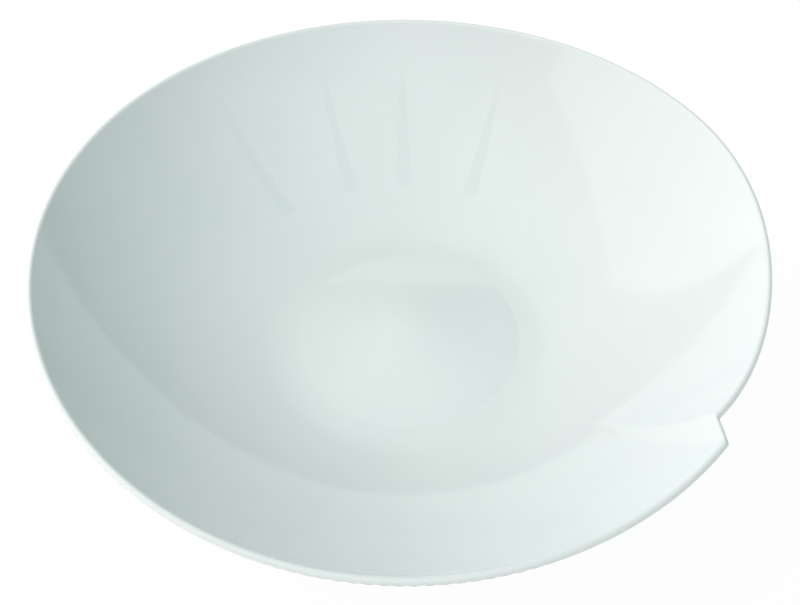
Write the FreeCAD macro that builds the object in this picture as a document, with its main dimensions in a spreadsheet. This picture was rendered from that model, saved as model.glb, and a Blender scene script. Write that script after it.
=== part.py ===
import FreeCAD, Part

# Deep coupe dish in glazed porcelain, with a shell-like step in its rim.
#
# Frame: millimetres, +Z up, the dish standing on z = 0, the middle of its bounding box at x = y = 0.
# The front is towards -Y, and the step in the rim is at the front right. Directions round the dish
# are angles in degrees, 0 towards +X and 90 towards +Y.
#
# The dish is a round form on a foot ring. Its rim is level and keeps to a circle for most of the way
# round, but for three faint lobes. At the right the rim winds inwards and down along the wall as far
# as the notch, and then steps back up and out to full height. A crease runs from the step down the
# wall, where the notch's side stands a little higher, and dies out above the round floor.
#
# Pieces: porcelain_body is the fired body, foot_ring is luted into a groove under it, and three
# coats of glaze lie on them. inner_glaze and outer_glaze meet along the crest of the lip, and
# base_glaze covers the underside within the foot. The foot's bearing face is wiped bare.
import math
import os
from types import SimpleNamespace

import Sketcher

SIZES = {
    "rim_radius": 150.5,          # circle that the outer edge of the glazed lip follows
    "lobe_height": 1.3,           # the rim swells by this three times round, and sinks between
    "lobe_angle": 30.0,           # direction of one of the three lobes
    "rim_height": 72.0,           # crest of the lip above the table
    "rim_slope": 57.0,            # slope of the wall where it reaches the lip, in degrees
    "rim_shift": -1.7,            # the rim's circle lies this far in x from the foot's axis
    "lip_thickness": 2.8,
    "wall_thickness": 4.4,        # of the floor and of the wall up to the shoulder under the lip
    "glaze_thickness": 0.3,
    "notch_angle": -36.0,         # direction where the rim is furthest in
    "step_width": 5.5,            # degrees from there to the tip, where it is back on the circle
    "trim_depth": 5.75,           # how far the rim has wound inwards along the wall at the notch
    "trim_span": 66.0,            # degrees over which it winds
    "crease_depth": 4.05,         # height of the crease's step at the rim, square to the wall
    "crease_span": 24.0,          # degrees over which the crease's high side falls back
    "fold_radius": 88.0,          # the crease has died out here
    "wall_low_radius": 40.75,     # the ellipse of the wall would be level here, under the floor
    "wall_low_height": 8.0,
    "valley_radius": 57.0,        # lowest ring of the inside, where floor and wall meet
    "valley_blend": 2.0,          # the blend fills the valley where they are less than this apart
    "floor_pitch": 12.0,          # the floor is a shallow cone with this slope, in degrees
    "floor_rounding": 10.0,       # radius over which the cone's tip is rounded
    "cap_radius": 6.0,            # flat middle of the floor
    "foot_radius": 60.0,          # middle of the foot's bearing ring
    "foot_height": 6.6,           # from the bearing face to the bottom of the groove
    "foot_width": 4.8,            # at the bearing face
    "foot_flare": 1.1,            # each side of the foot leans out by this towards the body
    "foot_rounding": 0.8,
    "wiped_height": 0.6,          # bare clay above the table
}
FLOOR_STATIONS = 12               # from the cap to the middle of the foot
WALL_STATIONS = 18                # from there to the lip
LIP_CROWDING = 1.6                # above 1 the wall's stations are closer together near the lip
SHOULDER_POWER = 24               # a high power keeps the wall's full thickness close to the lip
COARSE_DEGREES = 3.0
FINE_DEGREES = 0.5
FINE_MARGIN = 3.0                 # degrees of fine stations on either side of the step
LOBES = 3
QUARTER_ARC = 0.5523              # length of a Bezier handle for a quarter of a unit circle
RAMP_ROUNDING = 0.15              # share of the step that each of its rounded ends takes
INNER_STEP = 0.2                  # the step's width at fold_radius, as a share of step_width
CREASE_FALL = 2.5                 # a higher power makes the crease's high side fall back sooner


def make_sheet(doc):
    """Spreadsheet of the driving sizes, each cell with its name as alias."""
    sheet = doc.addObject("Spreadsheet::Sheet", "Sizes")
    for row, (name, value) in enumerate(SIZES.items(), start=1):
        sheet.set("A%d" % row, name)
        sheet.set("B%d" % row, str(value))
        sheet.setAlias("B%d" % row, name)
    doc.recompute()
    return sheet


def read_sizes(sheet):
    """The sheet's values, as size.rim_radius and so on."""
    return SimpleNamespace(**{name: float(sheet.get(name)) for name in SIZES})


def ease(share):
    """Smooth step from 0 to 1."""
    share = min(max(share, 0.0), 1.0)
    return share * share * (3.0 - 2.0 * share)


def ramp(share):
    """Straight rise from 0 to 1 with rounded ends."""
    end = RAMP_ROUNDING
    if share > 0.5:
        return 1.0 - ramp(1.0 - share)
    if share > end:
        return (share - 0.5 * end) / (1.0 - end)
    return max(share, 0.0) ** 2 / (2.0 * end * (1.0 - end))


def beside(size, angle, width, span):
    """Where this direction is: (share of the way up the step, share left of the span beyond it)."""
    past = (angle - size.notch_angle + width) % 360.0
    return min(past / width, 1.0), max(1.0 - max(past - width, 0.0) / span, 0.0)


def trim(size, angle):
    """How far the rim has wound inwards along the wall in this direction."""
    up, left = beside(size, angle, size.step_width, size.trim_span)
    return size.trim_depth * ramp(up) * ease(left)


def crease(size, angle, out):
    """How far the wall is raised beside the crease; out is 0 at fold_radius and 1 at the rim."""
    width = size.step_width * (INNER_STEP + (1.0 - INNER_STEP) * out)
    up, left = beside(size, angle, width, size.crease_span)
    return size.crease_depth * ease(out) * ramp(up) * left ** CREASE_FALL


def place(size, radius, height, angle):
    """Point of the dish for a point (radius, height) of its section in this direction."""
    share = ease((radius - size.foot_radius) / (size.rim_radius - size.foot_radius))
    lobe = size.lobe_height * math.cos(LOBES * math.radians(angle - size.lobe_angle))
    reach = radius * (1.0 + share * lobe / size.rim_radius)
    turn = math.radians(angle)
    x = size.rim_shift * share + reach * math.cos(turn)
    y = reach * math.sin(turn)
    return FreeCAD.Vector(x, y, height)


def directions(size):
    """Directions of the control points, close together across the step."""
    fine_start = size.notch_angle - size.step_width - FINE_MARGIN
    fine_span = size.step_width + 2.0 * FINE_MARGIN
    fine_count = round(fine_span / FINE_DEGREES)
    coarse_span = 360.0 - fine_span
    coarse_count = round(coarse_span / COARSE_DEGREES)
    fine = [fine_start + fine_span * i / fine_count for i in range(fine_count)]
    coarse = [fine_start + fine_span + coarse_span * i / coarse_count for i in range(coarse_count)]
    return fine + coarse


def centre_of_box(size):
    """Middle of the plan, measured from the foot's axis."""
    rim = []
    for i in range(1440):
        rim.append(place(size, size.rim_radius - trim(size, 0.25 * i), 0.0, 0.25 * i))
    xs = [point.x for point in rim]
    ys = [point.y for point in rim]
    return FreeCAD.Vector(0.5 * (min(xs) + max(xs)), 0.5 * (min(ys) + max(ys)), 0.0)


def wall_ellipse(size):
    """The wall's ellipse: its half axes across and up, and the radius where it meets the lip."""
    steep = math.radians(size.rim_slope)
    half = 0.5 * size.lip_thickness
    end = size.rim_radius - half - half * math.sin(steep)
    run = end - size.wall_low_radius
    rise = size.rim_height - half + half * math.cos(steep) - size.wall_low_height
    # An ellipse with this run and rise ends at rim_slope where run / rise * tan = 1 + 1 / cos.
    end_angle = math.acos(1.0 / (run / rise * math.tan(steep) - 1.0))
    return run / math.sin(end_angle), rise / (1.0 - math.cos(end_angle)), end


def wall(size, radius):
    """Height of the wall's ellipse at a radius, and its rise per millimetre."""
    across, up, _ = wall_ellipse(size)
    angle = math.asin(max(radius - size.wall_low_radius, 0.0) / across)
    return size.wall_low_height + up * (1.0 - math.cos(angle)), up / across * math.tan(angle)


def cone(size, radius):
    """Height of the floor's cone at a radius, and its rise per millimetre."""
    pitch = math.tan(math.radians(size.floor_pitch))
    slant = math.hypot(radius, size.floor_rounding)
    valley_slant = math.hypot(size.valley_radius, size.floor_rounding)
    height = wall(size, size.valley_radius)[0] + pitch * (valley_slant - slant)
    return height, -pitch * radius / slant


def inside(size, radius):
    """Height and slope of the glazed inside: the higher of cone and wall, with a blend between."""
    cone_height, cone_rate = cone(size, radius)
    wall_height, wall_rate = wall(size, radius)
    gap = cone_height - wall_height
    near = max(1.0 - abs(gap) / size.valley_blend, 0.0)
    height = max(cone_height, wall_height) + 0.25 * size.valley_blend * near ** 2
    cone_part = 1.0 - 0.5 * near if gap > 0.0 else 0.5 * near
    return height, math.atan(cone_part * cone_rate + (1.0 - cone_part) * wall_rate)


def section(size, angle):
    """Stations of the glazed inside in this direction, from the middle outwards to the lip.

    Each is (radius, height, slope, thickness). The thickness falls to the lip's over a short
    shoulder below the lip.
    """
    full_end = wall_ellipse(size)[2]
    end = full_end - trim(size, angle)
    floor_run = size.foot_radius - size.cap_radius
    radii = [size.cap_radius + floor_run * i / FLOOR_STATIONS for i in range(FLOOR_STATIONS)]
    for i in range(WALL_STATIONS + 1):
        left = (1.0 - i / WALL_STATIONS) ** LIP_CROWDING
        radii.append(size.foot_radius + (end - size.foot_radius) * (1.0 - left))
    stations = []
    for radius in radii:
        height, slope = inside(size, radius)
        share = max(radius - size.valley_radius, 0.0) / (end - size.valley_radius)
        shoulder = (size.wall_thickness - size.lip_thickness) * share ** SHOULDER_POWER
        out = min(max((radius - size.fold_radius) / (full_end - size.fold_radius), 0.0), 1.0)
        raised = crease(size, angle, out)
        stations.append((radius - raised * math.sin(slope), height + raised * math.cos(slope),
                         slope, size.wall_thickness - shoulder))
    return stations


def line(size, angle, depth=None, above_outside=0.0):
    """The section's points at a depth under the glazed inside, or above the glazed outside."""
    points = []
    for radius, height, slope, full in section(size, angle):
        below = depth if depth is not None else full - above_outside
        points.append((radius + below * math.sin(slope), height - below * math.cos(slope)))
    return points


def lip_quarter(size, angle, inset, side):
    """Quarter of the lip's round edge, this far under the glaze's surface.

    The inner quarter (side -1) ends at the lip's crest and the outer quarter (side 1) starts there.
    """
    radius, height, slope, full = section(size, angle)[-1]
    along = (math.cos(slope), math.sin(slope))
    out = (math.sin(slope), -math.cos(slope))
    centre = (radius + 0.5 * full * out[0], height + 0.5 * full * out[1])
    reach = 0.5 * size.lip_thickness - inset
    quarter = [(0, 1), (QUARTER_ARC, 1), (1, QUARTER_ARC), (1, 0)]
    if side < 0:
        quarter = [(-sideways, upwards) for sideways, upwards in reversed(quarter)]
    return [tuple(centre[i] + reach * (sideways * out[i] + upwards * along[i]) for i in (0, 1))
            for sideways, upwards in quarter]


def band(size, points_at):
    """Face carried all the way round the dish through the points that points_at gives."""
    around = directions(size)
    poles = [[place(size, radius, height, angle) for radius, height in points_at(angle)]
             for angle in around]
    count = len(poles[0])
    degree = min(3, count - 1)
    spans = count - degree
    along_mults = [degree + 1] + [1] * (spans - 1) + [degree + 1]
    surface = Part.BSplineSurface()
    surface.buildFromPolesMultsKnots(
        poles, [1] * (len(around) + 1), along_mults,
        [float(i) for i in range(len(around) + 1)], [float(i) for i in range(spans + 1)],
        True, False, 3, degree)
    return surface.toShape()


def disc(size, points_at):
    """Flat round face that closes the middle of the dish at the first of the points."""
    poles = [place(size, *points_at(angle)[0], angle) for angle in directions(size)]
    rim = Part.BSplineCurve()
    rim.buildFromPolesMultsKnots(
        poles, [1] * (len(poles) + 1), [float(i) for i in range(len(poles) + 1)], True, 3)
    return Part.Face(Part.Wire(rim.toShape()))


def closed_solid(faces):
    """Solid inside these faces, which meet edge to edge."""
    shell = Part.makeCompound(faces)
    shell.sewShape()
    solid = Part.makeSolid(shell.Shells[0] if shell.Shells else shell)
    if solid.Volume < 0.0:
        solid.reverse()
    return solid


def body_form(size):
    """The body before its groove is cut: the inside, the lip, the outside and the underside."""
    coat = size.glaze_thickness

    def inside_points(angle):
        return line(size, angle, depth=coat)

    def outside_points(angle):
        return line(size, angle, above_outside=coat)

    return closed_solid([
        disc(size, inside_points),
        band(size, inside_points),
        band(size, lambda angle: lip_quarter(size, angle, coat, -1)),
        band(size, lambda angle: lip_quarter(size, angle, coat, 1)),
        band(size, lambda angle: outside_points(angle)[FLOOR_STATIONS:]),
        band(size, lambda angle: outside_points(angle)[:FLOOR_STATIONS + 1]),
        disc(size, outside_points)])


def inner_glaze_form(size):
    """Coat on the inside, up to the crest of the lip."""
    coat = size.glaze_thickness

    def surface_points(angle):
        return line(size, angle, depth=0.0)

    def body_points(angle):
        return line(size, angle, depth=coat)

    def crest_points(angle):
        return [lip_quarter(size, angle, 0.0, -1)[-1], lip_quarter(size, angle, coat, -1)[-1]]

    return closed_solid([
        disc(size, surface_points),
        band(size, surface_points),
        band(size, lambda angle: lip_quarter(size, angle, 0.0, -1)),
        band(size, crest_points),
        band(size, lambda angle: lip_quarter(size, angle, coat, -1)),
        band(size, body_points),
        disc(size, body_points)])


def foot_side(size, side, coat):
    """Bottom and top (radius, height) of the foot's outer (1) or inner (-1) side, under a coat."""
    radius = size.foot_radius + side * (0.5 * size.foot_width + coat)
    return (radius, 0.0), (radius + side * size.foot_flare, size.foot_height)


def foot_sweep(size, side, start):
    """Coat's surface from the underside at start, round the hollow and down the foot's side."""
    (low_radius, _), (high_radius, high_height) = foot_side(size, side, size.glaze_thickness)
    flare = (high_radius - low_radius) / high_height

    def on_side(height):
        return (low_radius + flare * height, height)

    corner = on_side(start[1])
    reach = start[0] - corner[0]
    return [start, (corner[0] + 0.55 * reach, start[1]), (corner[0] + 0.15 * reach, start[1]),
            on_side(0.82 * start[1]), on_side(0.5 * start[1]), on_side(size.wiped_height)]


def outer_glaze_form(size):
    """Coat on the outside, from the crest of the lip down to the foot, and into the foot."""
    coat = size.glaze_thickness

    def surface_points(angle):
        return line(size, angle)[FLOOR_STATIONS + 1:]

    def body_points(angle):
        return line(size, angle, above_outside=coat)[FLOOR_STATIONS:]

    def crest_points(angle):
        return [lip_quarter(size, angle, coat, 1)[0], lip_quarter(size, angle, 0.0, 1)[0]]

    def sweep_points(angle):
        return foot_sweep(size, 1, surface_points(angle)[0])

    def under_foot(angle):
        return body_points(angle)[0][0], size.wiped_height

    return closed_solid([
        band(size, surface_points),
        band(size, lambda angle: lip_quarter(size, angle, 0.0, 1)),
        band(size, crest_points),
        band(size, lambda angle: lip_quarter(size, angle, coat, 1)),
        band(size, body_points),
        band(size, lambda angle: [body_points(angle)[0], under_foot(angle)]),
        band(size, lambda angle: [under_foot(angle), sweep_points(angle)[-1]]),
        band(size, sweep_points)])


def base_glaze_form(size):
    """Coat on the underside within the foot, down the foot's inner side, and into the foot."""
    coat = size.glaze_thickness

    def surface_points(angle):
        return line(size, angle)[:FLOOR_STATIONS - 1]

    def body_points(angle):
        return line(size, angle, above_outside=coat)[:FLOOR_STATIONS + 1]

    def sweep_points(angle):
        return foot_sweep(size, -1, surface_points(angle)[-1])

    def under_foot(angle):
        return body_points(angle)[-1][0], size.wiped_height

    return closed_solid([
        disc(size, surface_points),
        band(size, surface_points),
        band(size, sweep_points),
        band(size, lambda angle: [sweep_points(angle)[-1], under_foot(angle)]),
        band(size, lambda angle: [under_foot(angle), body_points(angle)[-1]]),
        band(size, body_points),
        disc(size, body_points)])


def origin_feature(body, role):
    """The body's own origin plane or axis with this role."""
    return next(item for item in body.Origin.OriginFeatures if item.Role == role)


def bind(sketch, ends, name, value, expression):
    """Dimension the sketch between two ends and tie the dimension to the sheet."""
    kind = ends[0]
    index = sketch.addConstraint(Sketcher.Constraint(kind, *ends[1:], value))
    sketch.renameConstraint(index, name)
    sketch.setExpression("Constraints." + name, expression)


def sketch_foot(body, size):
    """Section of the foot ring, right of its axis, with its bearing face on the X axis."""
    sketch = body.newObject("Sketcher::SketchObject", "foot_section")
    sketch.AttachmentSupport = [(origin_feature(body, "XZ_Plane"), "")]
    sketch.MapMode = "FlatFace"
    (inner_low, _), (inner_high, top) = foot_side(size, -1, 0.0)
    (outer_low, _), (outer_high, top) = foot_side(size, 1, 0.0)
    corners = [(inner_low, 0.0), (outer_low, 0.0), (outer_high, top), (inner_high, top)]
    ends = [FreeCAD.Vector(x, y, 0.0) for x, y in corners]
    for i in range(4):
        sketch.addGeometry(Part.LineSegment(ends[i], ends[(i + 1) % 4]), False)
    for i in range(4):
        sketch.addConstraint(Sketcher.Constraint("Coincident", i, 2, (i + 1) % 4, 1))
    sketch.addConstraint(Sketcher.Constraint("PointOnObject", 0, 1, -1))
    sketch.addConstraint(Sketcher.Constraint("Horizontal", 0))
    sketch.addConstraint(Sketcher.Constraint("Horizontal", 2))
    bind(sketch, ("DistanceX", -1, 1, 0, 1), "inner_edge", inner_low,
         "Sizes.foot_radius - 0.5 * Sizes.foot_width")
    bind(sketch, ("DistanceX", 0, 1, 0, 2), "bearing_width", size.foot_width, "Sizes.foot_width")
    bind(sketch, ("DistanceX", 0, 2, 2, 1), "outer_flare", size.foot_flare, "Sizes.foot_flare")
    bind(sketch, ("DistanceX", 2, 2, 0, 1), "inner_flare", size.foot_flare, "Sizes.foot_flare")
    bind(sketch, ("DistanceY", 0, 2, 2, 1), "ring_height", top, "Sizes.foot_height")
    return sketch


def make_foot_ring(doc, size, move):
    """Foot ring: its section turned about the foot's axis, with the lower edges rounded."""
    body = doc.addObject("PartDesign::Body", "foot_ring")
    sketch = sketch_foot(body, size)
    turned = body.newObject("PartDesign::Revolution", "foot_turned")
    turned.Profile = sketch
    turned.ReferenceAxis = (sketch, ["V_Axis"])
    turned.Angle = 360.0
    doc.recompute()
    low_edges = ["Edge%d" % number for number, edge in enumerate(turned.Shape.Edges, start=1)
                 if edge.BoundBox.ZMax < 0.01]
    rounded = body.newObject("PartDesign::Fillet", "foot_rounded")
    rounded.Base = (turned, low_edges)
    rounded.setExpression("Radius", "Sizes.foot_rounding")
    body.Placement = move
    doc.recompute()
    return body


def make_form(doc, name, shape, move):
    """Document object that holds a shape worked out from the sheet."""
    form = doc.addObject("Part::Feature", name)
    form.Shape = shape
    form.Placement = move
    return form


def seat_on_foot(doc, name, form, foot):
    """The form with the foot ring's place cut out of it."""
    piece = doc.addObject("Part::Cut", name)
    piece.Base = form
    piece.Tool = foot
    return piece


def check(doc, pieces):
    """Stop with the name of an object that failed or a piece that isn't one good solid."""
    failed = [item.Label for item in doc.Objects if {"Invalid", "Error"} & set(item.State)]
    if failed:
        raise RuntimeError("failed objects: " + ", ".join(failed))
    for piece in pieces:
        shape = piece.Shape
        if shape.isNull() or not shape.isValid() or len(shape.Solids) != 1:
            raise RuntimeError("not one good solid: " + piece.Label)
        box = shape.BoundBox
        print("%-16s %9.1f mm3  x %.2f to %.2f  y %.2f to %.2f  z %.2f to %.2f" % (
            piece.Label, shape.Volume, box.XMin, box.XMax, box.YMin, box.YMax,
            box.ZMin, box.ZMax))


def main():
    doc = FreeCAD.newDocument("coupe_dish")
    size = read_sizes(make_sheet(doc))
    move = FreeCAD.Placement(FreeCAD.Vector(0, 0, 0) - centre_of_box(size), FreeCAD.Rotation())
    foot = make_foot_ring(doc, size, move)
    forms = {
        "porcelain_body": body_form(size),
        "outer_glaze": outer_glaze_form(size),
        "base_glaze": base_glaze_form(size),
    }
    pieces = [foot, make_form(doc, "inner_glaze", inner_glaze_form(size), move)]
    for name, shape in forms.items():
        form = make_form(doc, name + "_form", shape, move)
        pieces.append(seat_on_foot(doc, name, form, foot))
    doc.recompute()
    check(doc, pieces)
    os.makedirs("parts", exist_ok=True)
    for piece in pieces:
        piece.Shape.exportStep("parts/%s.step" % piece.Label)


main()
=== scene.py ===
"""Deep coupe dish in reeded, glazed porcelain, with a shell-like step in its rim.

The visible pieces are the fired body, the foot ring luted under it and three coats of glaze. They
follow the solids of the frame, and add what those leave out: the reeding of the outside, the faint
flutes of the inside, and the finish of glaze and bare clay. Lengths are in metres and directions
round the dish in degrees, 0 towards +X and 90 towards +Y.
"""

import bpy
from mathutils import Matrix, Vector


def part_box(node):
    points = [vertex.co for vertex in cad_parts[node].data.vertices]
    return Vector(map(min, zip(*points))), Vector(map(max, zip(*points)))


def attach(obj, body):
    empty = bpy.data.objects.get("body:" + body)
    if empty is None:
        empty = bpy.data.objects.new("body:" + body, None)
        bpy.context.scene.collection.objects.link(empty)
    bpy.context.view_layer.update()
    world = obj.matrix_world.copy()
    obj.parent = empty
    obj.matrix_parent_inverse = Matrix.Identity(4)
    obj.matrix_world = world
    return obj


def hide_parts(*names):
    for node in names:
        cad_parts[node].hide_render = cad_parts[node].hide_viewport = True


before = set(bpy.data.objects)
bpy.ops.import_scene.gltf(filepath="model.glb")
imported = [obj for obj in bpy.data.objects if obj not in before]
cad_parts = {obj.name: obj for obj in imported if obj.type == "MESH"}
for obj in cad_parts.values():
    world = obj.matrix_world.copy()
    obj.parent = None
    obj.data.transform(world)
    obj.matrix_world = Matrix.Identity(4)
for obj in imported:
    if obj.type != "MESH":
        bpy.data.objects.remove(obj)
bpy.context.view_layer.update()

import math
from types import SimpleNamespace

import bmesh
import bpy
from mathutils import Vector

MM = 0.001

# The form. Its overall sizes are the solids', and the rest are the sizes that they were drawn with.
body_low, body_high = (Vector(corner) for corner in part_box("outer_glaze"))
foot_low, foot_high = (Vector(corner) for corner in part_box("foot_ring"))
FOOT_AXIS = 0.5 * (foot_low + foot_high)
HAIR = 0.03 * MM                  # the visible form stays this far inside the solids
RIM_RADIUS = 0.5 * (body_high.y - body_low.y) - HAIR
RIM_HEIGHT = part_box("inner_glaze")[1][2]
RIM_SLOPE = math.radians(57.0)
RIM_SHIFT = -1.7 * MM
LIP = 2.8 * MM
WALL = 4.4 * MM                   # thickness of the floor and the wall, up to the shoulder
SHOULDER_POWER = 24               # a high power keeps the full thickness close to the lip
GLAZE = 0.3 * MM
LOBES = 3
LOBE_HEIGHT = 1.3 * MM
LOBE_ANGLE = 30.0
NOTCH_ANGLE = -36.0               # direction where the rim is furthest in
STEP_WIDTH = 5.5                  # degrees from there to the tip, back on the circle
TRIM_DEPTH = 5.75 * MM            # how far the rim has wound in along the wall at the notch
TRIM_SPAN = 66.0
CREASE_DEPTH = 4.05 * MM          # height of the crease's step at the rim, square to the wall
CREASE_SPAN = 24.0
FOLD_RADIUS = 88.0 * MM           # the crease has died out here
RAMP_ROUNDING = 0.15              # share of the step that each of its rounded ends takes
INNER_STEP = 0.2                  # the step's width at FOLD_RADIUS, as a share of STEP_WIDTH
CREASE_FALL = 2.5                 # a higher power makes the crease's high side fall back sooner
WALL_LOW_RADIUS = 40.75 * MM      # the ellipse of the wall would be level here, under the floor
WALL_LOW_HEIGHT = 8.0 * MM
VALLEY_RADIUS = 57.0 * MM
VALLEY_BLEND = 2.0 * MM
FLOOR_PITCH = math.radians(12.0)
FLOOR_ROUNDING = 10.0 * MM
FOOT_RADIUS = 60.0 * MM
FOOT_HEIGHT = foot_high.z
FOOT_WIDTH = 4.8 * MM
FOOT_FLARE = 1.1 * MM
FOOT_ROUNDING = 0.8 * MM
WIPED_HEIGHT = 0.6 * MM           # the foot is wiped clean of glaze up to here
SWEEP_DROP = 0.35                 # the glaze's hollow meets the foot's side at this share of its height

# Relief that the solids leave out.
REEDS = 188
REED_DEPTH = 0.3 * MM
REED_RUN_OUT = 1.5 * MM           # height over which the reeds run out under the lip's outer edge
REED_FOOT_RADIUS = 72.0 * MM      # the reeds' inner ends
REED_FOOT_RUN_OUT = 8.0 * MM
FLUTES = (                        # direction, and depth as a share of FLUTE_DEPTH
    (128.9, 1.0),
    (107.1, 1.0),
    (90.5, 1.0),
    (69.9, 1.0),
    (-109.5, 0.3),
)
FLUTE_DEPTH = 0.1 * MM
FLUTE_INNER_RADIUS = 87.0 * MM    # blunt end
FLUTE_OUTER_RADIUS = 142.0 * MM
FLUTE_INNER_WIDTH = 7.0 * MM
FLUTE_OUTER_WIDTH = 1.6 * MM
FLUTE_EDGE = 0.9 * MM             # width of its rounded sides
FLUTE_END = 2.0 * MM              # length of its rounded blunt end
FLUTE_FADING = 0.35               # share of its length that fades out towards the rim

FINE_STEPS = 6 * REEDS             # round the outer coat
INNER_STEPS = 5 * REEDS
PLAIN_STEPS = 3 * REEDS            # round the body and foot
FIRST_STEPS = REEDS // 2           # spun, and then divided
FLOOR_STATIONS = 20
WALL_STATIONS = 46
LIP_CROWDING = 1.5                # above 1 the stations are closer together near the lip
LIP_STATIONS = 6
SWEEP_STATIONS = 10
OUTER_SKIP = 6                    # wall stations that the foot's hollow takes
SHARP_EDGE = math.radians(50.0)
MERGE_DISTANCE = 0.001 * MM

# Texture of the glaze and of the clay.
CLOUD_SIZE = 45.0 * MM            # slow changes in the glaze's thickness
PEEL_SIZE = 9.0 * MM              # orange peel
PEEL_DEPTH = 0.05 * MM
STAIN_SIZE = 12.0 * MM
GRAIN_SIZE = 0.5 * MM
GRAIN_DEPTH = 0.1 * MM

# Light. Soft lobes from overhead, from the left and from the front, and a tall soft panel at the
# left, whose straight edges show in the glaze. Each lobe is (direction round the dish, height above
# the horizon, both in degrees, colour, strength, focus, share that the glaze mirrors). A higher
# focus makes it narrower, and a share of 0 leaves the mirrored room dark there.
ROOM_LIGHTS = (
    (0.0, 90.0, "#e2fffd", 0.85, 3, 1.0),
    (140.0, 0.0, "#fafbff", 3.0, 4, 0.0),
    (190.0, 55.0, "#ffd8d6", 1.48, 8, 0.0),
    (290.0, 35.0, "#fdfdff", 1.28, 4, 1.0),
)
PANEL_STRENGTH = 0.85
PANEL_COLOUR = "#fffcfc"
PANEL_DIRECTION = math.radians(172.0)
PANEL_DISTANCE = 1.0              # from the middle of the rim; its lower edge is level with the rim
PANEL_WIDTH = 1.93
PANEL_HEIGHT = 1.2
PANEL_ASIDE = 0.185               # its middle is this far nearer the front than the dish
FLOOR_SHADE = 0.05                # share of the white floor's brightness that shadows take away
FLOOR_REACH = 2.0                 # from its middle to its edges

CAMERA_RISE = math.radians(49.0)
CAMERA_DISTANCE = 450.0 * MM
CAMERA_TARGET = Vector((-2.1, -33.6, 0.0)) * MM    # from the middle of the rim
CAMERA_LENS = 52.8                # focal length in mm, on a sensor 36 mm wide


def ease(share):
    """Smooth step from 0 to 1."""
    share = min(max(share, 0.0), 1.0)
    return share * share * (3.0 - 2.0 * share)


def ramp(share):
    """Straight rise from 0 to 1 with rounded ends."""
    end = RAMP_ROUNDING
    if share > 0.5:
        return 1.0 - ramp(1.0 - share)
    if share > end:
        return (share - 0.5 * end) / (1.0 - end)
    return max(share, 0.0) ** 2 / (2.0 * end * (1.0 - end))


def beside(angle, width, span):
    """Where this direction is: (share of the way up the step, share left of the span beyond it)."""
    past = (angle - NOTCH_ANGLE + width) % 360.0
    return min(past / width, 1.0), max(1.0 - max(past - width, 0.0) / span, 0.0)


def trim(angle):
    """How far the rim has wound inwards along the wall in this direction."""
    up, left = beside(angle, STEP_WIDTH, TRIM_SPAN)
    return TRIM_DEPTH * ramp(up) * ease(left)


def crease(angle, out):
    """How far the wall is raised beside the crease; out is 0 at FOLD_RADIUS and 1 at the rim."""
    width = STEP_WIDTH * (INNER_STEP + (1.0 - INNER_STEP) * out)
    up, left = beside(angle, width, CREASE_SPAN)
    return CREASE_DEPTH * ease(out) * ramp(up) * left ** CREASE_FALL


def place(radius, height, angle):
    """Point of the dish for a point (radius, height) of its section in this direction."""
    share = ease((radius - FOOT_RADIUS) / (RIM_RADIUS - FOOT_RADIUS))
    lobe = LOBE_HEIGHT * math.cos(LOBES * math.radians(angle - LOBE_ANGLE))
    reach = radius * (1.0 + share * lobe / RIM_RADIUS)
    turn = math.radians(angle)
    return Vector((FOOT_AXIS.x + RIM_SHIFT * share + reach * math.cos(turn),
                   FOOT_AXIS.y + reach * math.sin(turn), height))


def reed(angle):
    """How far the surface lies under the crests of the reeds, from 0 to 1: round backs, sharp valleys."""
    return 1.0 - abs(math.sin(0.5 * math.radians(angle) * REEDS))


def flute(radius, angle):
    """How deep a flute is here, from 0 to 1: flat-bottomed, narrow at the rim, blunt at its inner end."""
    away, strength = min((abs((angle - way + 180.0) % 360.0 - 180.0), share) for way, share in FLUTES)
    aside = radius * math.radians(away)
    along = (radius - FLUTE_INNER_RADIUS) / (FLUTE_OUTER_RADIUS - FLUTE_INNER_RADIUS)
    if not 0.0 < along < 1.0:
        return 0.0
    half = 0.5 * (FLUTE_INNER_WIDTH + (FLUTE_OUTER_WIDTH - FLUTE_INNER_WIDTH) * along)
    across = ease((half - aside) / FLUTE_EDGE + 0.5)
    blunt = ease((radius - FLUTE_INNER_RADIUS) / FLUTE_END)
    fading = ease((1.0 - along) / FLUTE_FADING)
    return strength * across * blunt * fading


def point(radius, height, slope=0.0, reeded=0.0, fluted=0.0):
    """A point of a section, with the share of each relief that the surface has there."""
    return SimpleNamespace(radius=radius, height=height, slope=slope, reeded=reeded, fluted=fluted)


def wall_ellipse():
    """The wall's ellipse: its half axes across and up, and the radius where it meets the lip."""
    half = 0.5 * LIP
    end = RIM_RADIUS - half - half * math.sin(RIM_SLOPE)
    run = end - WALL_LOW_RADIUS
    rise = RIM_HEIGHT - half + half * math.cos(RIM_SLOPE) - WALL_LOW_HEIGHT
    end_angle = math.acos(1.0 / (run / rise * math.tan(RIM_SLOPE) - 1.0))
    return run / math.sin(end_angle), rise / (1.0 - math.cos(end_angle)), end


def wall(radius):
    """Height of the wall's ellipse at a radius, and its rise per metre."""
    across, up, _ = wall_ellipse()
    angle = math.asin(max(radius - WALL_LOW_RADIUS, 0.0) / across)
    return WALL_LOW_HEIGHT + up * (1.0 - math.cos(angle)), up / across * math.tan(angle)


def cone(radius):
    """Height of the floor's shallow cone at a radius, and its rise per metre."""
    slant = math.hypot(radius, FLOOR_ROUNDING)
    valley_slant = math.hypot(VALLEY_RADIUS, FLOOR_ROUNDING)
    pitch = math.tan(FLOOR_PITCH)
    return wall(VALLEY_RADIUS)[0] + pitch * (valley_slant - slant), -pitch * radius / slant


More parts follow.
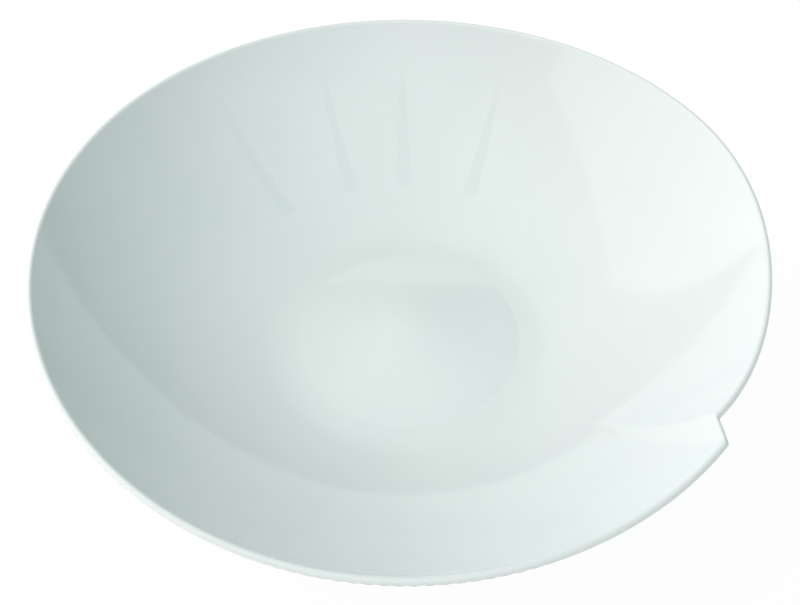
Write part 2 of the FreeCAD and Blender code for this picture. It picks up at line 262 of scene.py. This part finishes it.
def inside(radius):
    """Height and slope of the glazed inside: the higher of cone and wall, with a blend between."""
    cone_height, cone_rate = cone(radius)
    wall_height, wall_rate = wall(radius)
    gap = cone_height - wall_height
    near = max(1.0 - abs(gap) / VALLEY_BLEND, 0.0)
    height = max(cone_height, wall_height) + 0.25 * VALLEY_BLEND * near ** 2
    cone_part = 1.0 - 0.5 * near if gap > 0.0 else 0.5 * near
    return height, math.atan(cone_part * cone_rate + (1.0 - cone_part) * wall_rate)


def section(angle):
    """Stations (radius, height, slope, thickness) of the glazed inside, from the middle outwards."""
    full_end = wall_ellipse()[2]
    end = full_end - trim(angle)
    radii = [FOOT_RADIUS * i / FLOOR_STATIONS for i in range(FLOOR_STATIONS)]
    for i in range(WALL_STATIONS + 1):
        left = (1.0 - i / WALL_STATIONS) ** LIP_CROWDING
        radii.append(FOOT_RADIUS + (end - FOOT_RADIUS) * (1.0 - left))
    stations = []
    for radius in radii:
        height, slope = inside(radius)
        share = max(radius - VALLEY_RADIUS, 0.0) / (end - VALLEY_RADIUS)
        out = min(max((radius - FOLD_RADIUS) / (full_end - FOLD_RADIUS), 0.0), 1.0)
        raised = crease(angle, out)
        stations.append((radius - raised * math.sin(slope), height + raised * math.cos(slope),
                         slope, WALL - (WALL - LIP) * share ** SHOULDER_POWER))
    return stations


def inside_line(stations, depth):
    """The section's inside at this depth under the glaze's surface."""
    return [point(radius + depth * math.sin(slope), height - depth * math.cos(slope), slope, 0.0, 1.0)
            for radius, height, slope, thickness in stations]


def outside_line(stations, depth):
    """The section's outside at this depth under the glaze's surface, with its share of the reeding."""
    radius, height, slope, thickness = stations[-1]
    top = height - thickness * math.cos(slope)
    points = []
    for radius, height, slope, thickness in stations:
        below = thickness - depth
        out = radius + below * math.sin(slope)
        low = height - below * math.cos(slope)
        top_share = ease((top - low) / REED_RUN_OUT)
        foot_share = ease((out - REED_FOOT_RADIUS) / REED_FOOT_RUN_OUT)
        points.append(point(out, low, slope, top_share * foot_share))
    return points


def lip_arc(stations, depth, start, stop):
    """Part of the lip's round edge, in quarter turns: -1 is its inner end, 0 its crest, 1 its outer end."""
    radius, height, slope, thickness = stations[-1]
    centre_radius = radius + 0.5 * LIP * math.sin(slope)
    centre_height = height - 0.5 * LIP * math.cos(slope)
    reach = 0.5 * LIP - depth
    points = []
    for i in range(LIP_STATIONS + 1):
        turn = 0.5 * math.pi * (start + (stop - start) * i / LIP_STATIONS)
        away = slope - turn
        points.append(point(centre_radius + reach * math.cos(away),
                            centre_height + reach * math.sin(away)))
    return points


def foot_side(side, height, coat=0.0):
    """Point of the foot's outer (1) or inner (-1) side at a height, under a coat."""
    lean = FOOT_FLARE * height / FOOT_HEIGHT
    return point(FOOT_RADIUS + side * (0.5 * FOOT_WIDTH + coat + lean), height)


def foot_sweep(side, start):
    """The glaze's hollow from the underside at start round to the foot's side, and down that side."""
    corner = foot_side(side, start.height, GLAZE)
    drop = foot_side(side, SWEEP_DROP * start.height, GLAZE)
    points = []
    for i in range(1, SWEEP_STATIONS + 1):
        share = i / SWEEP_STATIONS
        ahead = (1.0 - share) ** 2
        bend = 2.0 * share * (1.0 - share)
        points.append(point(ahead * start.radius + bend * corner.radius + share ** 2 * drop.radius,
                            ahead * start.height + bend * corner.height + share ** 2 * drop.height))
    points.append(foot_side(side, WIPED_HEIGHT, GLAZE))
    return points


def spin_section(points_at, steps, closed):
    """Bmesh of a section turned once about the axis, with each vertex at its place on the dish."""
    bm = bmesh.new()
    station = bm.verts.layers.float.new("station")
    glaze_pool = bm.verts.layers.float.new("pool")
    verts = []
    for number, item in enumerate(points_at(0.0)):
        vert = bm.verts.new((item.radius, 0.0, item.height))
        vert[station] = number
        verts.append(vert)
    edges = [bm.edges.new(pair) for pair in zip(verts, verts[1:])]
    if closed:
        edges.append(bm.edges.new((verts[-1], verts[0])))
    bmesh.ops.spin(bm, geom=verts + edges, cent=(0, 0, 0), axis=(0, 0, 1), dvec=(0, 0, 0),
                   angle=2.0 * math.pi, steps=FIRST_STEPS, use_merge=True, use_duplicate=False)
    rings = [edge for edge in bm.edges if edge.verts[0][station] == edge.verts[1][station]]
    bmesh.ops.subdivide_edges(bm, edges=rings, cuts=steps // FIRST_STEPS - 1, use_grid_fill=True)
    sections = [points_at(360.0 * step / steps) for step in range(steps)]
    for vert in bm.verts:
        step = round(math.atan2(vert.co.y, vert.co.x) / (2.0 * math.pi) * steps) % steps
        angle = 360.0 * step / steps
        item = sections[step][round(vert[station])]
        hollow = 0.0
        if item.reeded:
            hollow += item.reeded * REED_DEPTH * reed(angle)
            vert[glaze_pool] = item.reeded * reed(angle)
        if item.fluted:
            hollow -= item.fluted * FLUTE_DEPTH * flute(item.radius, angle)
            vert[glaze_pool] = item.fluted * flute(item.radius, angle)
        vert.co = place(item.radius - hollow * math.sin(item.slope),
                        item.height + hollow * math.cos(item.slope), angle)
    bmesh.ops.remove_doubles(bm, verts=bm.verts, dist=MERGE_DISTANCE)
    return bm


def finish_mesh(bm, name, material):
    """Object from a bmesh, with its faces outwards, smooth but for its sharp edges."""
    bmesh.ops.recalc_face_normals(bm, faces=bm.faces)
    for face in bm.faces:
        face.smooth = True
    mesh = bpy.data.meshes.new(name)
    bm.to_mesh(mesh)
    bm.free()
    mesh.set_sharp_from_angle(angle=SHARP_EDGE)
    mesh.materials.append(material)
    piece = bpy.data.objects.new(name, mesh)
    bpy.context.scene.collection.objects.link(piece)
    return piece


def place_piece(piece, solid):
    """The piece stands for a solid of the frame, and rides with it."""
    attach(piece, "root")
    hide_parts(solid)


def make_body(material):
    """The fired body: the inside, the lip, the reeded outside and the underside with its groove."""
    groove = [foot_side(side, FOOT_HEIGHT) for side in (-1, 1)]

    def points_at(angle):
        stations = section(angle)
        inside = inside_line(stations, GLAZE)
        outside = outside_line(stations, GLAZE)
        lip = lip_arc(stations, GLAZE, -1.0, 1.0)
        middle = [item for item in outside[:FLOOR_STATIONS] if item.radius < groove[0].radius]
        wall = [item for item in outside[FLOOR_STATIONS + 1:]]
        mouths = [point(end.radius, outside[FLOOR_STATIONS].height) for end in groove]
        return (inside[:-1:2] + lip + wall[-2::-2] + [mouths[1], groove[1], groove[0], mouths[0]]
                + middle[::-2] + ([middle[0]] if len(middle) % 2 == 0 else []))

    return finish_mesh(spin_section(points_at, PLAIN_STEPS, closed=False), "fired_body", material)


def make_inner_coat(material):
    """Coat of glaze on the inside, up to the lip's crest, with the faint flutes."""
    def points_at(angle):
        stations = section(angle)
        surface = inside_line(stations, 0.0) + lip_arc(stations, 0.0, -1.0, 0.0)[1:]
        under = inside_line(stations, GLAZE)[::5] + lip_arc(stations, GLAZE, -1.0, 0.0)[::2]
        return surface + under[::-1]

    return finish_mesh(spin_section(points_at, INNER_STEPS, closed=False), "inside_glaze", material)


def make_outer_coat(material):
    """Coat of glaze on the reeded outside, from the lip's crest to the wiped edge of the foot."""
    def points_at(angle):
        stations = section(angle)
        wall = outside_line(stations, 0.0)[FLOOR_STATIONS + OUTER_SKIP:]
        under = outside_line(stations, GLAZE)[FLOOR_STATIONS + OUTER_SKIP - 1:]
        surface = lip_arc(stations, 0.0, 0.0, 1.0)[:-1] + wall[::-1] + foot_sweep(1, wall[0])
        back = [foot_side(1, WIPED_HEIGHT), foot_side(1, under[0].height)]
        return surface + back + under[:-1:3] + lip_arc(stations, GLAZE, 0.0, 1.0)[::-2]

    return finish_mesh(spin_section(points_at, FINE_STEPS, closed=True), "outside_glaze", material)


def make_base_coat(material):
    """Coat of glaze on the underside within the foot."""
    def points_at(angle):
        stations = section(angle)
        surface = outside_line(stations, 0.0)[:FLOOR_STATIONS - 2]
        under = outside_line(stations, GLAZE)[:FLOOR_STATIONS - 1]
        back = [foot_side(-1, WIPED_HEIGHT), foot_side(-1, under[-1].height)]
        return surface + foot_sweep(-1, surface[-1]) + back + under[::-1]

    return finish_mesh(spin_section(points_at, PLAIN_STEPS, closed=False), "base_glaze_coat", material)


def make_foot(material):
    """Foot ring: its flared section turned about the axis, with the lower edges rounded."""
    corners = [foot_side(-1, 0.0), foot_side(1, 0.0), foot_side(1, FOOT_HEIGHT),
               foot_side(-1, FOOT_HEIGHT)]
    bm = spin_section(lambda angle: corners, PLAIN_STEPS, closed=True)
    low = [edge for edge in bm.edges if all(vert.co.z < 0.01 * MM for vert in edge.verts)
           and abs(edge.calc_face_angle(0.0)) > 0.5]
    bmesh.ops.bevel(bm, geom=low, offset=FOOT_ROUNDING, segments=4, profile=0.5,
                    affect="EDGES", material=-1)
    return finish_mesh(bm, "luted_foot", material)


def linear(hex_colour):
    """Linear colour of an sRGB hex value such as #f0f4f2."""
    parts = [int(hex_colour[i:i + 2], 16) / 255.0 for i in (1, 3, 5)]
    parts = [part / 12.92 if part <= 0.04045 else ((part + 0.055) / 1.055) ** 2.4 for part in parts]
    return (*parts, 1.0)


def node(tree, kind, settings=None, **inputs):
    """Add a node with its settings, and its sockets' values or the sockets that feed them."""
    item = tree.nodes.new(kind)
    for name, value in (settings or {}).items():
        setattr(item, name, value)
    for name, value in inputs.items():
        socket = item.inputs[int(name[1:]) if name[0] == "_" and name[1:].isdigit()
                             else name.replace("_", " ")]
        if isinstance(value, bpy.types.NodeSocket):
            tree.links.new(value, socket)
        else:
            socket.default_value = value
    return item


def new_material(name):
    """Empty node material, with its output."""
    material = bpy.data.materials.new(name)
    material.use_nodes = True
    material.node_tree.nodes.clear()
    output = material.node_tree.nodes.new("ShaderNodeOutputMaterial")
    return material, material.node_tree, output


def glaze_material(name, pooled_colour):
    """Clear feldspathic glaze over white porcelain, dipped and fired: a smooth glassy coat.

    It is nearly white with a cool green cast, and deeper in colour where it pools in the relief.
    A faint orange peel and slow clouding break up its shine.
    """
    material, tree, output = new_material(name)
    coords = node(tree, "ShaderNodeTexCoord").outputs["Object"]
    clouds = node(tree, "ShaderNodeTexNoise", Vector=coords, Scale=1.0 / CLOUD_SIZE,
                  Detail=2.0, Roughness=0.5)
    tone = node(tree, "ShaderNodeMix", {"data_type": "RGBA"}, _0=clouds.outputs["Fac"],
                _6=linear("#dbe5e3"), _7=linear("#e2eae8"))
    pool = node(tree, "ShaderNodeAttribute", {"attribute_name": "pool"})
    pooled = node(tree, "ShaderNodeMix", {"data_type": "RGBA"}, _0=pool.outputs["Fac"],
                  _6=tone.outputs[2], _7=linear(pooled_colour))
    peel = node(tree, "ShaderNodeTexNoise", Vector=coords, Scale=1.0 / PEEL_SIZE,
                Detail=1.0, Roughness=0.4)
    bump = node(tree, "ShaderNodeBump", Height=peel.outputs["Fac"], Strength=0.25,
                Distance=PEEL_DEPTH)
    smear = node(tree, "ShaderNodeMapRange", Value=clouds.outputs["Fac"],
                 To_Min=0.05, To_Max=0.09)
    shader = node(tree, "ShaderNodeBsdfPrincipled", Base_Color=pooled.outputs[2],
                  Roughness=smear.outputs["Result"], IOR=1.5, Normal=bump.outputs["Normal"])
    tree.links.new(shader.outputs["BSDF"], output.inputs["Surface"])
    return material


def bare_clay_material(name):
    """Biscuit porcelain, wiped and ground: matt, warm white, with a fine grain from the sand."""
    material, tree, output = new_material(name)
    coords = node(tree, "ShaderNodeTexCoord").outputs["Object"]
    grain = node(tree, "ShaderNodeTexNoise", Vector=coords, Scale=1.0 / GRAIN_SIZE,
                 Detail=3.0, Roughness=0.6)
    stain = node(tree, "ShaderNodeTexNoise", Vector=coords, Scale=1.0 / STAIN_SIZE, Detail=2.0)
    tone = node(tree, "ShaderNodeMix", {"data_type": "RGBA"}, _0=stain.outputs["Fac"],
                _6=linear("#d9d3c8"), _7=linear("#e9e5dd"))
    bump = node(tree, "ShaderNodeBump", Height=grain.outputs["Fac"], Strength=0.5,
                Distance=GRAIN_DEPTH)
    shader = node(tree, "ShaderNodeBsdfPrincipled", Base_Color=tone.outputs[2],
                  Roughness=0.85, IOR=1.45, Normal=bump.outputs["Normal"])
    tree.links.new(shader.outputs["BSDF"], output.inputs["Surface"])
    return material


def make_floor():
    """Plain white floor under the dish, which keeps a faint shadow of it."""
    bm = bmesh.new()
    bmesh.ops.create_grid(bm, x_segments=1, y_segments=1, size=FLOOR_REACH)
    mesh = bpy.data.meshes.new("floor")
    bm.to_mesh(mesh)
    bm.free()
    floor = bpy.data.objects.new("floor", mesh)
    bpy.context.scene.collection.objects.link(floor)
    material, tree, output = new_material("white_table")
    path = node(tree, "ShaderNodeLightPath")
    matt = node(tree, "ShaderNodeBsdfDiffuse", Color=linear("#f2f4f4"))
    shade = node(tree, "ShaderNodeBsdfDiffuse", Color=(FLOOR_SHADE,) * 3 + (1.0,))
    bright = node(tree, "ShaderNodeEmission", Color=(1, 1, 1, 1), Strength=1.0 - FLOOR_SHADE)
    white = node(tree, "ShaderNodeAddShader", _0=shade.outputs[0], _1=bright.outputs[0])
    seen = node(tree, "ShaderNodeMixShader", _0=path.outputs["Is Camera Ray"],
                _1=matt.outputs[0], _2=white.outputs[0])
    tree.links.new(seen.outputs[0], output.inputs["Surface"])
    mesh.materials.append(material)


def make_world():
    """Soft lobes of light in a room that is seen as plain white."""
    world = bpy.data.worlds.new("room")
    bpy.context.scene.world = world
    world.use_nodes = True
    tree = world.node_tree
    tree.nodes.clear()
    way = node(tree, "ShaderNodeTexCoord").outputs["Generated"]
    path = node(tree, "ShaderNodeLightPath")
    light = None
    for direction, rise, colour, strength, focus, mirrored in ROOM_LIGHTS:
        turn = math.radians(direction)
        up = math.radians(rise)
        towards = (math.cos(up) * math.cos(turn), math.cos(up) * math.sin(turn), math.sin(up))
        facing = node(tree, "ShaderNodeVectorMath", {"operation": "DOT_PRODUCT"}, _0=way, _1=towards)
        share = node(tree, "ShaderNodeMath", {"operation": "MAXIMUM"}, _0=facing.outputs["Value"],
                     _1=0.0)
        focused = node(tree, "ShaderNodeMath", {"operation": "POWER"}, _0=share.outputs[0],
                       _1=float(focus))
        shown = node(tree, "ShaderNodeMapRange", Value=path.outputs["Is Glossy Ray"],
                     To_Min=strength, To_Max=strength * mirrored)
        power = node(tree, "ShaderNodeMath", {"operation": "MULTIPLY"}, _0=focused.outputs[0],
                     _1=shown.outputs["Result"])
        lobe = node(tree, "ShaderNodeBackground", Color=linear(colour), Strength=power.outputs[0])
        if light:
            lobe = node(tree, "ShaderNodeAddShader", _0=light.outputs[0], _1=lobe.outputs[0])
        light = lobe
    white = node(tree, "ShaderNodeBackground", Color=(1, 1, 1, 1), Strength=1.0)
    seen = node(tree, "ShaderNodeMixShader", _0=path.outputs["Is Camera Ray"],
                _1=light.outputs[0], _2=white.outputs[0])
    output = node(tree, "ShaderNodeOutputWorld")
    tree.links.new(seen.outputs[0], output.inputs["Surface"])


def aim(thing, way):
    """Turn a camera or lamp to look along a vector."""
    thing.rotation_euler = way.to_track_quat("-Z", "Y").to_euler()


def make_panel(rim_centre):
    """Tall soft panel at the left, standing square to its direction."""
    lamp = bpy.data.lights.new("panel", "AREA")
    lamp.shape = "RECTANGLE"
    lamp.size = PANEL_WIDTH
    lamp.size_y = PANEL_HEIGHT
    lamp.energy = PANEL_STRENGTH * math.pi * PANEL_WIDTH * PANEL_HEIGHT
    lamp.color = linear(PANEL_COLOUR)[:3]
    thing = bpy.data.objects.new("panel", lamp)
    out = Vector((math.cos(PANEL_DIRECTION), math.sin(PANEL_DIRECTION), 0.0))
    towards_front = Vector((-out.y, out.x, 0.0))
    thing.location = rim_centre + PANEL_DISTANCE * out + PANEL_ASIDE * towards_front
    thing.location.z += 0.5 * PANEL_HEIGHT
    aim(thing, -out)
    bpy.context.scene.collection.objects.link(thing)


def make_camera(rim_centre):
    """Camera in front of the dish, looking down at it."""
    target = rim_centre + CAMERA_TARGET
    way = Vector((0.0, -math.cos(CAMERA_RISE), math.sin(CAMERA_RISE)))
    data = bpy.data.cameras.new("camera")
    data.sensor_fit = "HORIZONTAL"
    data.sensor_width = 36.0
    data.lens = CAMERA_LENS
    data.clip_start = 10.0 * MM
    camera = bpy.data.objects.new("camera", data)
    camera.location = target + CAMERA_DISTANCE * way
    aim(camera, target - camera.location)
    bpy.context.scene.collection.objects.link(camera)
    bpy.context.scene.camera = camera


def main():
    inside = glaze_material("clear_glaze_inside", "#dae4e2")
    outside = glaze_material("clear_glaze_reeded", "#bccfca")
    clay = bare_clay_material("biscuit_porcelain")
    place_piece(make_body(clay), "porcelain_body")
    place_piece(make_foot(clay), "foot_ring")
    place_piece(make_inner_coat(inside), "inner_glaze")
    place_piece(make_outer_coat(outside), "outer_glaze")
    place_piece(make_base_coat(inside), "base_glaze")
    rim_centre = Vector((FOOT_AXIS.x + RIM_SHIFT, FOOT_AXIS.y, RIM_HEIGHT))
    make_floor()
    make_world()
    make_panel(rim_centre)
    make_camera(rim_centre)
    bpy.context.scene.view_settings.view_transform = "Standard"


main()
